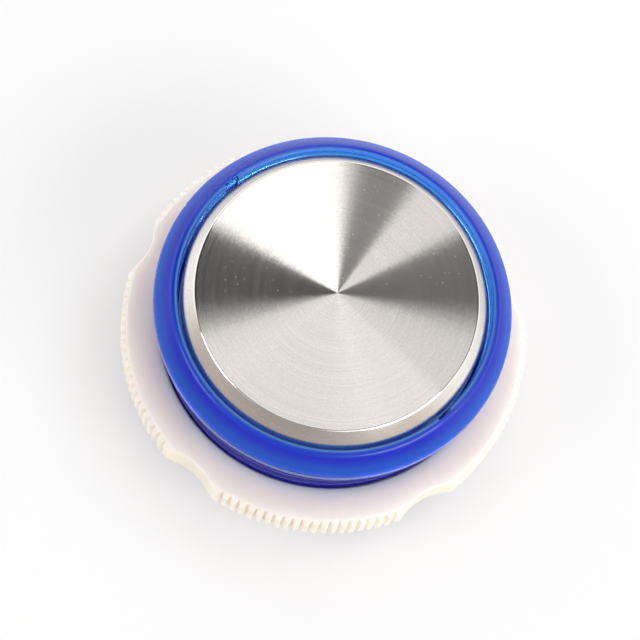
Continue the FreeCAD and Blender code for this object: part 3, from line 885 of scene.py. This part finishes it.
def lathe(
    name: str, angles: Sequence[float], sections: Sequence[Sequence[Point]], closed: bool = True
) -> bpy.types.Object:
    """Skins sections that stand round the axis, the last at the same place as the first.

    Args:
        name: The piece's name.
        angles: Where each section stands, in radians.
        sections: Points of radius and height in millimetres, as many in each section.
        closed: Whether a section's last point joins its first.

    Returns:
        The new object, in the scene.
    """
    section = np.array(sections) * MM
    turn = np.array(angles)[:, None]
    radius, height = section[..., 0], section[..., 1]
    points = np.stack([radius * np.cos(turn), radius * np.sin(turn), height], axis=-1)
    count, length = section.shape[:2]
    faces = []
    for j in range(count - 1):
        here, there = j * length, (j + 1) * length
        for k in range(length if closed else length - 1):
            after = (k + 1) % length
            faces.append((here + k, there + k, there + after, here + after))
    return skin(name, points.reshape(-1, 3), faces)


def place(piece: bpy.types.Object, body: Body, finish: Finish, slot: str) -> bpy.types.Object:
    """Dresses a new piece and sets it on its body.

    Args:
        piece: The new piece.
        body: The body it rides on.
        finish: Its surface finish.
        slot: The record's material slot; not used.

    Returns:
        The piece.
    """
    piece.data.materials.clear()
    piece.data.materials.append(finish.material())
    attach(piece, body.value)
    return piece


def dress(node: str, finish: Finish) -> None:
    """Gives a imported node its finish.

    Args:
        node: The node's name.
        finish: Its surface finish.
    """
    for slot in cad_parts[node].material_slots:
        slot.material = finish.material()
    LOG.info("%s: %s", node, finish.name)


@dataclass
class ThreadForm:
    """A screw thread's form along one pitch, as shares of pitch and depth."""

    pitch: float = 1.5
    depth: float = 0.5
    shape: tuple[Point, ...] = (
        (0.09, 0.0), (0.13, 0.05), (0.37, 0.95), (0.41, 1.0),
        (0.59, 1.0), (0.63, 0.95), (0.87, 0.05), (0.91, 0.0),
    )

    def run(self, turn: float, low: float, high: float) -> list[Point]:
        """Follows the thread up one side.

        Args:
            turn: The angle of that side, in radians.
            low: The height where the run starts.
            high: The height where it ends.

        Returns:
            Height and depth share of each point, held at the two ends.
        """
        turns = math.ceil((high - low) / self.pitch) + 1
        climb = turn / (2 * math.pi) - 1.0
        points = []
        for i in range(turns + 1):
            for share, depth in self.shape:
                height = low + self.pitch * (i + share + climb)
                points.append((max(low, min(high, height)), depth))
        return points


@dataclass
class ButtonCap:
    """Stainless cap with a flat turned face, bevel and skirt."""

    radius: float = 16.1
    sheet: float = 0.8
    face: float = 4.05
    bevel_width: float = 1.25
    bevel_height: float = 1.35
    face_round: float = 0.6
    edge_round: float = 0.15
    skirt_end: float = -0.5
    skirt_round: float = 0.08
    face_rings: tuple[float, ...] = (0.0, 0.1, 0.3, 0.55, 0.8)
    face_upright: float = 0.72
    sides: int = 576
    round_steps: int = 12

    def section(self) -> list[Point]:
        """The cap's section, from the middle of its face to the middle of its underside.

        Returns:
            Points of radius and height.
        """
        bevel = math.atan2(self.bevel_height, self.bevel_width)
        corner = self.radius - self.bevel_width
        edge = self.face - self.bevel_height
        inner = self.radius - self.sheet
        inner_edge = edge - self.sheet * math.tan(math.pi / 4 - bevel / 2)
        inner_corner = corner - self.sheet * math.tan(bevel / 2)
        rings = [(corner * share, self.face) for share in self.face_rings]
        return rounded(
            rings + [
                (corner, self.face, self.face_round),
                (self.radius, edge, self.edge_round),
                (self.radius, self.skirt_end, self.skirt_round),
                (inner, self.skirt_end, self.skirt_round),
                (inner, inner_edge),
                (inner_corner, self.face - self.sheet),
                (0.0, self.face - self.sheet),
            ],
            steps=self.round_steps,
            closed=False,
        )

    def build(self) -> None:
        """Turns the cap and stands it for its node."""
        angles = np.linspace(0, 2 * math.pi, self.sides + 1)
        section = self.section()
        cap = lathe("steel_cap", angles, [section] * len(angles), closed=False)
        place(cap, Body.BUTTON, STEEL_FACE, "turned_steel")
        # The bevel faces take the darker steel, painted shade.
        cap.data.materials.append(SHADED_STEEL_BEVEL.material())
        for face in cap.data.polygons:
            face.material_index = int(abs(face.normal.z) < self.face_upright)
        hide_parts("button_cap")
        dress("cap_carrier", WHITE_CARRIER)


@dataclass
class HaloSleeve:
    """Clear blue ring, flange and threaded sleeve in one moulding."""

    bore: float = 16.5
    crest: float = 17.9
    flange: float = 19.0
    rim_height: float = 1.1
    flange_height: float = 3.05
    crest_width: float = 0.7
    rim_round: float = 1.2
    crest_round: float = 0.3
    shoulder_round: float = 0.85
    slot_crest_round: float = 0.12
    slot_shoulder_round: float = 0.3
    seat_round: float = 0.2
    end: float = -13.0
    lead_in: float = 0.6
    run_out: float = 0.3
    fade: float = 0.9
    ledge_top: float = -5.0
    ledge_under: float = -6.2
    ledge_bore: float = 13.6
    ledge_round: float = 0.15
    root_round: float = 0.3
    end_round: float = 0.1
    slot_angles: tuple[float, ...] = (150.0, 330.0)
    slot_width: float = 1.7
    slot_depth: float = 0.35
    mark_angle: float = 165.0
    mark_width: float = 0.5
    mark_depth: float = 0.2
    boss_circle: float = 14.0
    boss_radius: float = 1.9
    boss_hole: float = 1.03
    boss_end: float = -8.6
    boss_angles: tuple[float, ...] = (60.0, 180.0, 300.0)
    sides: int = 240
    thread: ThreadForm = field(default_factory=ThreadForm)

    def stations(self) -> list[tuple[float, bool, bool]]:
        """Where sections stand round the ring.

        Returns:
            Each section's angle in radians, and whether it lies in a key slot or in the gate mark.
        """
        slot_half = math.asin(self.slot_width / 2 / self.bore)
        mark_half = self.mark_width / 2 / self.flange
        slots = [math.radians(a) for a in self.slot_angles]
        mark = math.radians(self.mark_angle)
        spots = []
        for angle in np.linspace(0, 2 * math.pi, self.sides + 1):
            in_slot = any(abs(angle - s) < slot_half for s in slots)
            spots.append((float(angle), 0, in_slot, abs(angle - mark) < mark_half))
        for s in slots:
            spots += [(s - slot_half, 0, False, False), (s - slot_half, 1, True, False)]
            spots += [(s + slot_half, 0, True, False), (s + slot_half, 1, False, False)]
        spots += [(mark - mark_half, 0, False, False), (mark - mark_half, 1, False, True)]
        spots += [(mark + mark_half, 0, False, True), (mark + mark_half, 1, False, False)]
        return [(angle, in_slot, in_mark) for angle, _, in_slot, in_mark in sorted(spots)]

    def thread_run(self, angle: float) -> list[Point]:
        """The threaded side at one angle, from the sleeve's end up to the flange.

        Args:
            angle: The angle in radians.

        Returns:
            Points of radius and height.
        """
        top = -self.run_out
        run = []
        for height, depth in self.thread.run(angle, self.end, top):
            full = max(0.0, min(1.0, (top - height) / self.fade))
            radius = self.crest - self.thread.depth * depth * full
            run.append((min(radius, self.crest - self.lead_in + height - self.end), height))
        return run

    def section(self, angle: float, in_slot: bool, in_mark: bool) -> list[Point]:
        """The ring's section at one angle.

        Args:
            angle: The angle in radians.
            in_slot: Whether a key slot widens the bore there.
            in_mark: Whether the gate mark cuts the rim there.

        Returns:
            Points of radius and height, round the section once.
        """
        bore = self.bore + (self.slot_depth if in_slot else 0.0)
        shoulder = self.bore + self.crest_width
        crest_round = self.slot_crest_round if in_slot else self.crest_round
        shoulder_round = self.slot_shoulder_round if in_slot else self.shoulder_round
        upper = rounded([
            (self.crest, 0.0),
            (self.flange, 0.0, self.seat_round),
            (self.flange, self.rim_height, self.rim_round),
            (shoulder, self.flange_height, shoulder_round),
            (bore, self.flange_height, crest_round),
            (bore, self.ledge_top),
            (self.ledge_bore, self.ledge_top, self.ledge_round),
            (self.ledge_bore, self.ledge_under, self.ledge_round),
            (self.bore, self.ledge_under, self.root_round),
            (self.bore, self.end, self.end_round),
        ], steps=8, closed=False)
        limit = self.flange - (self.mark_depth if in_mark else 0.0)
        held = [(min(radius, limit), height) for radius, height in upper]
        return self.thread_run(angle) + held

    def bosses(self) -> bpy.types.Object:
        """Screw bosses under the ledge.

        Returns:
            The bosses as one piece.
        """
        tube = rounded([
            (self.boss_hole, self.ledge_under),
            (self.boss_hole, self.boss_end, 0.1),
            (self.boss_radius, self.boss_end, 0.15),
            (self.boss_radius, self.ledge_under),
        ], steps=3)
        turns = np.linspace(0, 2 * math.pi, 49)
        points, faces = [], []
        for angle in map(math.radians, self.boss_angles):
            centre = Vector((math.cos(angle), math.sin(angle), 0.0)) * self.boss_circle
            for j, turn in enumerate(turns):
                for k, (radius, height) in enumerate(tube):
                    if j:
                        last = len(points) - len(tube)
                        after = len(points) - k + (k + 1) % len(tube)
                        faces.append((last, len(points), after, after - len(tube)))
                    out = Vector((math.cos(turn), math.sin(turn), 0.0)) * radius
                    points.append((centre.x + out.x, centre.y + out.y, height))
        return skin("sleeve_bosses", np.array(points) * MM, faces)

    def build(self) -> None:
        """Skins the ring with its thread, and stands it for its node."""
        spots = self.stations()
        ring = lathe("blue_ring", [s[0] for s in spots], [self.section(*s) for s in spots])
        place(ring, Body.HOUSING, BLUE_RING, "blue_plastic")
        ring.data.materials.append(BLUE_THIN.material())
        for face in ring.data.polygons:
            across = face.center.xy.length
            outward = (face.normal.x * face.center.x + face.normal.y * face.center.y) / across
            in_bore = outward < -0.5 and face.center.z > self.ledge_top * MM
            in_rim = across > self.crest * MM and -0.1 * MM < face.center.z < self.rim_height * MM
            face.material_index = int(in_bore or in_rim)
        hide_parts("halo_sleeve")
        place(self.bosses(), Body.HOUSING, BLUE_RING, "blue_plastic")


@dataclass
class ClampNut:
    """Ivory nut with knurled lands between finger scallops."""

    bore: float = 18.0
    radius: float = 22.1
    top: float = -6.8
    bottom: float = -11.0
    edge: float = 0.6
    edge_round: float = 0.14
    bore_edge: float = 0.15
    thread_fade: float = 0.3
    face_rings: tuple[float, ...] = (19.4, 20.4)
    scallops: int = 5
    scallop_angle: float = 31.0
    scallop_chord: float = 6.35
    scallop_depth: float = 1.1
    corner_round: float = 0.8
    grooves: int = 20
    groove_depth: float = 0.5
    groove_share: float = 0.5
    thread: ThreadForm = field(default_factory=ThreadForm)

    def outline(self) -> list[Point]:
        """Goes once round the nut's edge.

        Returns:
            Angle in radians and radius of each point.
        """
        half = self.scallop_chord / 2
        floor = self.radius - self.scallop_depth
        sagitta = math.sqrt(self.radius**2 - half**2) - floor
        hollow = (half**2 + sagitta**2) / (2 * sagitta)
        centre = floor + hollow
        corner = self.radius - self.corner_round
        reach = hollow + self.corner_round
        corner_angle = math.acos((corner**2 + centre**2 - reach**2) / (2 * corner * centre))
        sector = 2 * math.pi / self.scallops
        pitch = (sector - 2 * corner_angle) / (self.grooves + 1 - self.groove_share)
        points: list[Point] = []
        for i in range(self.scallops):
            axis = math.radians(self.scallop_angle) + i * sector
            points += [(axis + a, r) for a, r in self.scallop(hollow, centre, corner, corner_angle)]
            for k in range(self.grooves + 1):
                start = axis + corner_angle + k * pitch
                ridge = self.knurl(k < self.grooves)
                points += [(start + pitch * share, self.radius - drop) for share, drop in ridge]
        return points

    def scallop(self, hollow: float, centre: float, corner: float, corner_angle: float) -> list[Point]:
        """One finger scallop with its rounded corners, about angle 0.

        Args:
            hollow: Radius of the scallop's curve.
            centre: How far out that curve is centred.
            corner: How far out the corner rounds are centred.
            corner_angle: The angle at which they are centred.

        Returns:
            Angle and radius of each point.
        """
        place_of = Vector((corner * math.cos(corner_angle), corner * math.sin(corner_angle)))
        lip = place_of - Vector((centre, 0.0))
        lip_angle = math.atan2(lip.y, -lip.x)
        inward = math.atan2(-lip.y, -lip.x)
        side = []
        for k in range(7):
            turn = corner_angle + (inward - corner_angle) * k / 6
            point = place_of + self.corner_round * Vector((math.cos(turn), math.sin(turn)))
            side.append((math.atan2(point.y, point.x), point.length))
        across = []
        for k in range(1, 12):
            turn = math.pi - lip_angle * (1 - k / 6)
            point = Vector((centre + hollow * math.cos(turn), hollow * math.sin(turn)))
            across.append((math.atan2(point.y, point.x), point.length))
        across.sort()
        return [(-a, r) for a, r in side] + across + side[::-1]

    def knurl(self, grooved: bool) -> list[Point]:
        """One crest and the groove after it.

        Args:
            grooved: Whether a groove follows the crest.

        Returns:
            Share of the pitch and drop below the crest of each point.
        """
        crest = 1 - self.groove_share
        middle = (1 + crest) / 2
        ridge = [(0.05, 0.0), (crest - 0.05, 0.0)]
        if not grooved:
            return ridge
        return ridge + [
            (crest + 0.03, 0.07), (middle - 0.05, self.groove_depth * 0.93), (middle, self.groove_depth),
            (middle + 0.05, self.groove_depth * 0.93), (0.97, 0.07),
        ]

    def section(self, angle: float, outer: float) -> list[Point]:
        """The nut's section at one angle.

        Args:
            angle: The angle in radians.
            outer: The outline's radius there.

        Returns:
            Points of radius and height, round the section once.
        """
        levels = []
        for k in range(5):
            turn = math.pi / 2 * k / 4
            inset, height = 1 - math.sin(turn), 1 - math.cos(turn)
            levels.append((self.edge_round * inset, self.edge_round * height))
        levels += [(0.0, self.edge * 0.5), (0.0, self.edge), (0.0, self.edge + 0.08)]
        rise = []
        for inset, height in levels:
            slope = self.radius - max(0.0, self.edge - height)
            rise.append((min(outer, slope) - inset, height))
        lower = [(radius, self.bottom + height) for radius, height in rise]
        upper = [(radius, self.top - height) for radius, height in reversed(rise)]
        mouth = self.bore + self.bore_edge
        across = (mouth, *self.face_rings)
        top_face = [(radius, self.top) for radius in reversed(across)]
        bottom_face = [(radius, self.bottom) for radius in across]
        low, high = self.bottom + self.bore_edge, self.top - self.bore_edge
        bore = []
        for height, depth in reversed(self.thread.run(angle, low, high)):
            inside = min(height - low, high - height) / self.thread_fade
            fade = max(0.0, min(1.0, inside))
            bore.append((self.bore + self.thread.depth * depth * fade, height))
        return lower + upper + top_face + bore + bottom_face

    def build(self) -> None:
        """Skins the nut and stands it for its node."""
        outline = self.outline()
        start = outline[0][0]
        outline.append((start + 2 * math.pi, outline[0][1]))
        angles = [angle for angle, _ in outline]
        sections = [self.section(angle - start, outer) for angle, outer in outline]
        nut = lathe("ivory_nut", angles, sections)
        place(nut, Body.NUT, IVORY_NUT, "ivory_plastic")
        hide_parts("lock_nut")


@dataclass
class CoilSpring:
    """Round-wire coil spring whose end turns lie flat, squeezed by one joint."""

    name: str
    node: str
    press: Press
    radius: float
    wire: float
    turns: float
    low: float
    high: float
    seat: float
    travel: float = 1.2
    sides: int = 14
    steps: int = 56

    def line(self, share: float) -> Vector:
        """Follows the middle of the wire.

        Args:
            share: How far along the wire, from 0 to 1.

        Returns:
            The point there, in millimetres.
        """
        flat = min(0.45 / self.turns, 0.3)
        climb = max(0.0, min(1.0, (share - flat) / (1 - 2 * flat)))
        ease = climb * climb * (3 - 2 * climb) * 0.3 + climb * 0.7
        turn = 2 * math.pi * self.turns * share
        height = self.low + self.wire / 2 + (self.high - self.low - self.wire) * ease
        return Vector((self.radius * math.cos(turn), self.radius * math.sin(turn), height))

    def build(self) -> None:
        """Sweeps the wire."""
        count = int(self.turns * self.steps)
        points, faces = [], []
        for i in range(count + 1):
            middle = self.line(i / count)
            out = Vector((middle.x, middle.y, 0.0)).normalized()
            for k in range(self.sides):
                turn = 2 * math.pi * k / self.sides
                side = out * math.cos(turn) + Vector((0, 0, math.sin(turn)))
                points.append(middle + side * (self.wire / 2))
                if i:
                    after = (k + 1) % self.sides
                    here, last = i * self.sides, (i - 1) * self.sides
                    faces.append((last + k, here + k, here + after, last + after))
        faces.append(tuple(range(self.sides)))
        faces.append(tuple(range(count * self.sides, (count + 1) * self.sides)))
        coil = skin(self.name, np.array([tuple(p) for p in points]) * MM, faces, crease=60.0)
        place(coil, Body.HOUSING, SPRING_WIRE, "spring_steel")
        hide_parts(self.node)
        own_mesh(coil)


@dataclass
class InnerWorks:
    """Board, lamps and switch inside the housing."""

    finishes: tuple[tuple[str, Finish], ...] = (
        ("circuit_board", GREEN_BOARD),
        ("ring_leds", RING_LED),
        ("led_resistors", CHIP_RESISTOR),
        ("guard_diode", DIODE_CASE),
        ("switch_base", SWITCH_TRAY),
        ("switch_cover", SWITCH_LID),
        ("switch_plunger", PUSH_PIN),
        ("contact_bridge", CONTACT_BRASS),
        ("moving_contacts", CONTACT_SILVER),
        ("fixed_contacts", CONTACT_SILVER),
        ("switch_terminals", CONTACT_BRASS),
    )

    def springs(self) -> list[CoilSpring]:
        """The button's spring and the switch's.

        Returns:
            Both springs, not yet built.
        """
        return [
            CoilSpring("return_coil", "return_spring", Press.BUTTON, 14.45, 0.5, 2.5, -4.95, -1.35, -5.0),
            CoilSpring("switch_coil", "switch_spring", Press.SWITCH, 1.2, 0.3, 4.0, -7.55, -4.7, -7.6),
        ]

    def build(self) -> None:
        """Dresses the nodes and coils the springs."""
        for node, finish in self.finishes:
            dress(node, finish)
        for spring in self.springs():
            spring.build()


@dataclass
class BackEnd:
    """Rear cover, its screws and the connector."""

    finishes: tuple[tuple[str, Finish], ...] = (
        ("rear_cover", DARK_COVER),
        ("cover_screws", PLATED_SCREW),
        ("connector_shell", CREAM_HEADER),
        ("connector_pins", TINNED_PIN),
    )

    def build(self) -> None:
        """Dresses the nodes."""
        for node, finish in self.finishes:
            dress(node, finish)


@dataclass(frozen=True)
class Softbox:
    """One soft lamp, aimed at the button, which glossy surfaces mirror or only feel."""

    name: str
    azimuth: float
    elevation: float
    width: float
    height: float
    brightness: float
    distance: float = 0.7
    colour: tuple[float, float, float] = (1.0, 1.0, 1.0)
    mirrored: bool = True

    def build(self) -> None:
        """Hangs the lamp, at a power that gives its face that brightness."""
        lamp = bpy.data.lights.new(self.name, "AREA")
        lamp.shape = "RECTANGLE"
        lamp.size = self.width
        lamp.size_y = self.height
        lamp.energy = self.brightness * math.pi * self.width * self.height
        lamp.color = self.colour
        thing = bpy.data.objects.new(self.name, lamp)
        thing.visible_glossy = self.mirrored
        bpy.context.scene.collection.objects.link(thing)
        turn, rise = math.radians(self.azimuth), math.radians(self.elevation)
        level = Vector((math.cos(turn), math.sin(turn), 0.0)) * math.cos(rise)
        toward = level + Vector((0.0, 0.0, math.sin(rise)))
        thing.location = toward * self.distance
        thing.rotation_euler = toward.to_track_quat("Z", "Y").to_euler()


@dataclass(frozen=True)
class RoomPanel:
    """One bright part of the room, by the azimuths at which the turned face catches it."""

    start: float
    end: float
    soft_start: float
    soft_end: float
    brightness: float

    def wire(self, bench: NodeBench, turn: Socket) -> Socket:
        """Wires the panel into the room.

        Args:
            bench: The room's tree.
            turn: The azimuth in degrees at which the face's lines would catch the direction.

        Returns:
            The panel's brightness in that direction.
        """
        rise = bench.span(turn, self.start - self.soft_start / 2, self.start + self.soft_start / 2)
        fall = bench.span(turn, self.end - self.soft_end / 2, self.end + self.soft_end / 2, 1.0, 0.0)
        return bench.maths("MULTIPLY", bench.maths("MULTIPLY", rise, fall), self.brightness)


def seen_rays(bench: NodeBench) -> Socket:
    """Finds the rays that show a surface itself.

    Args:
        bench: The material's tree.

    Returns:
        1 for rays from the camera, a reflection or a clear solid, and 0 for light that falls on things.
    """
    path = bench.add("ShaderNodeLightPath").outputs
    mirrored = bench.maths("MAXIMUM", path["Is Glossy Ray"], path["Is Transmission Ray"])
    return bench.maths("MAXIMUM", path["Is Camera Ray"], mirrored)


@dataclass
class Studio:
    """Pale floor, the room's light, soft lamps and the camera."""

    floor_level: float = -16.02
    floor_half: float = 3.0
    floor_colour: Colour = (0.93, 0.93, 0.935, 1.0)
    floor_shade: Colour = (0.91, 0.912, 0.915, 1.0)
    floor_strength: float = 0.97
    elevation: float = 69.48
    roll: float = 19.25
    distance: float = 231.2
    aim_height: float = 1.0
    focal: float = 2200.0
    offset: Point = (14.3, -17.3)
    picture: float = 640.0
    floor_glow: float = 0.42
    seam: float = 190.0
    dim: float = 0.06
    row_share: float = 0.35
    ceiling: Colour = (1.0, 0.985, 0.97, 1.0)
    near_wall: Colour = (0.74, 0.63, 0.54, 1.0)
    far_wall: Colour = (1.5, 1.49, 1.47, 1.0)
    panels: tuple[RoomPanel, ...] = (
        RoomPanel(212.0, 369.0, 20.0, 22.0, 0.97),
        RoomPanel(236.0, 308.0, 30.0, 30.0, 0.2),
        RoomPanel(377.0, 407.0, 8.0, 8.0, 0.11),
        RoomPanel(407.0, 434.0, 7.0, 9.0, 1.06),
        RoomPanel(430.0, 460.0, 6.0, 6.0, 0.17),
        RoomPanel(463.0, 529.5, 16.0, 8.0, 1.8),
    )
    windows: tuple[RoomPanel, ...] = (
        RoomPanel(180.0, 212.0, 1.0, 16.0, 1.4),
        RoomPanel(224.0, 252.0, 14.0, 14.0, 0.3),
        RoomPanel(286.0, 350.0, 16.0, 24.0, 1.3),
        RoomPanel(500.0, 560.0, 20.0, 1.0, 1.4),
    )
    softboxes: tuple[Softbox, ...] = (
        Softbox("near_left_softbox", 212.0, 42.0, 0.3, 0.22, 3.9),
        Softbox("near_right_softbox", 334.0, 38.0, 0.46, 0.24, 4.3),
        Softbox("far_right_softbox", 44.0, 58.0, 0.26, 0.22, 4.4, mirrored=False),
    )

    def floor(self) -> None:
        """Lays the floor."""
        signs = ((-1, -1), (1, -1), (1, 1), (-1, 1))
        corners = [(x * self.floor_half, y * self.floor_half, self.floor_level * MM) for x, y in signs]
        floor = skin("floor", np.array(corners), [(0, 1, 2, 3)])
        material, bench, shader = fresh_material("pale_floor")
        mottle = bench.noise(bench.place(), 18.0, 3.0)
        pale = bench.tint(mottle, self.floor_colour, self.floor_shade)
        bench.feed(shader, Base_Color=pale, Roughness=0.7, Specular_IOR_Level=0.2)
        glow = bench.add("ShaderNodeEmission", {"Color": pale, "Strength": self.floor_strength})
        share = bench.maths("MULTIPLY", seen_rays(bench), self.floor_glow)
        mixed = bench.add("ShaderNodeMixShader", {0: share, 1: shader.outputs[0], 2: glow.outputs[0]})
        sink = next(node for node in bench.tree.nodes if node.type == "OUTPUT_MATERIAL")
        bench.tree.links.new(mixed.outputs[0], sink.inputs["Surface"])
        floor.data.materials.append(material)

    def room(self, bench: NodeBench, toward: Socket) -> Socket:
        """Hangs the bright panels overhead, and the windows lower down.

        Args:
            bench: The room's tree.
            toward: The direction that is looked in.

        Returns:
            The brightness in that direction, above the walls.
        """
        rise = math.radians(self.elevation)
        eye = (0.0, -math.cos(rise), math.sin(rise))
        halfway = bench.axes(bench.vector("NORMALIZE", bench.vector("ADD", toward, eye)))
        angle = bench.maths("DEGREES", bench.maths("ARCTAN2", halfway["Y"], halfway["X"]))
        past_seam = bench.maths("FLOORED_MODULO", bench.maths("SUBTRACT", angle, self.seam), 360.0)
        turn = bench.maths("ADD", past_seam, self.seam)
        bright: Feed = self.dim
        for panel in self.panels:
            bright = bench.maths("ADD", bright, panel.wire(bench, turn))
        tilt = bench.maths("DEGREES", bench.maths("ARCCOSINE", halfway["Z"]))
        middle = bench.span(tilt, 1.5, 3.5, 0.4, 1.0)
        outside = bench.span(tilt, 15.0, 20.0, 1.0, self.row_share)
        bright = bench.maths("MULTIPLY", bright, bench.maths("MULTIPLY", middle, outside))
        sill, head = bench.span(tilt, 34.0, 42.0, 1.0, 0.0), bench.span(tilt, 25.0, 30.0)
        opening = bench.maths("MULTIPLY", head, sill)
        for window in self.windows:
            bright = bench.maths("MULTIPLY_ADD", window.wire(bench, turn), opening, bright)
        return bright

    def world(self) -> None:
        """Sets the room's light: panels and windows above, and walls, warm and dim on the near side."""
        world = bpy.data.worlds.new("studio_room")
        bpy.context.scene.world = world
        world.use_nodes = True
        world.node_tree.nodes.clear()
        bench = NodeBench(world.node_tree)
        toward = bench.add("ShaderNodeTexCoord").outputs["Generated"]
        bearing = bench.axes(toward)
        above = bench.tint(1.0, self.ceiling, self.room(bench, toward), "MULTIPLY")
        wall = bench.tint(bench.span(bearing["Y"], -0.5, 0.1), self.near_wall, self.far_wall)
        colour = bench.tint(bench.span(bearing["Z"], 0.42, 0.32), above, wall)
        light = bench.add("ShaderNodeBackground", {"Color": colour, "Strength": 1.0})
        bench.add("ShaderNodeOutputWorld", {"Surface": light.outputs[0]})

    def camera(self) -> None:
        """Sets the camera over the button, turned as the picture is."""
        rise, lean = math.radians(self.elevation), math.radians(self.roll)
        back = Vector((0.0, -math.cos(rise), math.sin(rise)))
        across, up = Vector((1.0, 0.0, 0.0)), Vector((0.0, math.sin(rise), math.cos(rise)))
        right = across * math.cos(lean) + up * math.sin(lean)
        top = up * math.cos(lean) - across * math.sin(lean)
        data = bpy.data.cameras.new("camera")
        data.sensor_width = 36.0
        data.lens = self.focal / self.picture * data.sensor_width
        data.shift_x = -self.offset[0] / self.picture
        data.shift_y = self.offset[1] / self.picture
        data.clip_start, data.clip_end = 0.01, 20.0
        camera = bpy.data.objects.new("camera", data)
        bpy.context.scene.collection.objects.link(camera)
        turn = Matrix((right, top, back)).transposed().to_4x4()
        aim = Vector((0.0, 0.0, self.aim_height))
        camera.matrix_world = Matrix.Translation((aim + back * self.distance) * MM) @ turn
        bpy.context.scene.camera = camera

    def build(self) -> None:
        """Sets up floor, light and camera."""
        self.floor()
        self.world()
        for softbox in self.softboxes:
            softbox.build()
        self.camera()
        bpy.context.scene.view_settings.view_transform = "Standard"


def main() -> None:
    """Builds and dresses the button, piece by piece, and sets up the studio."""
    logging.basicConfig(level=logging.INFO, format="%(name)s: %(message)s")
    for part in (ButtonCap(), HaloSleeve(), ClampNut(), InnerWorks(), BackEnd(), Studio()):
        part.build()
        LOG.info("%s done", type(part).__name__)


if __name__ == "__main__":
    main()
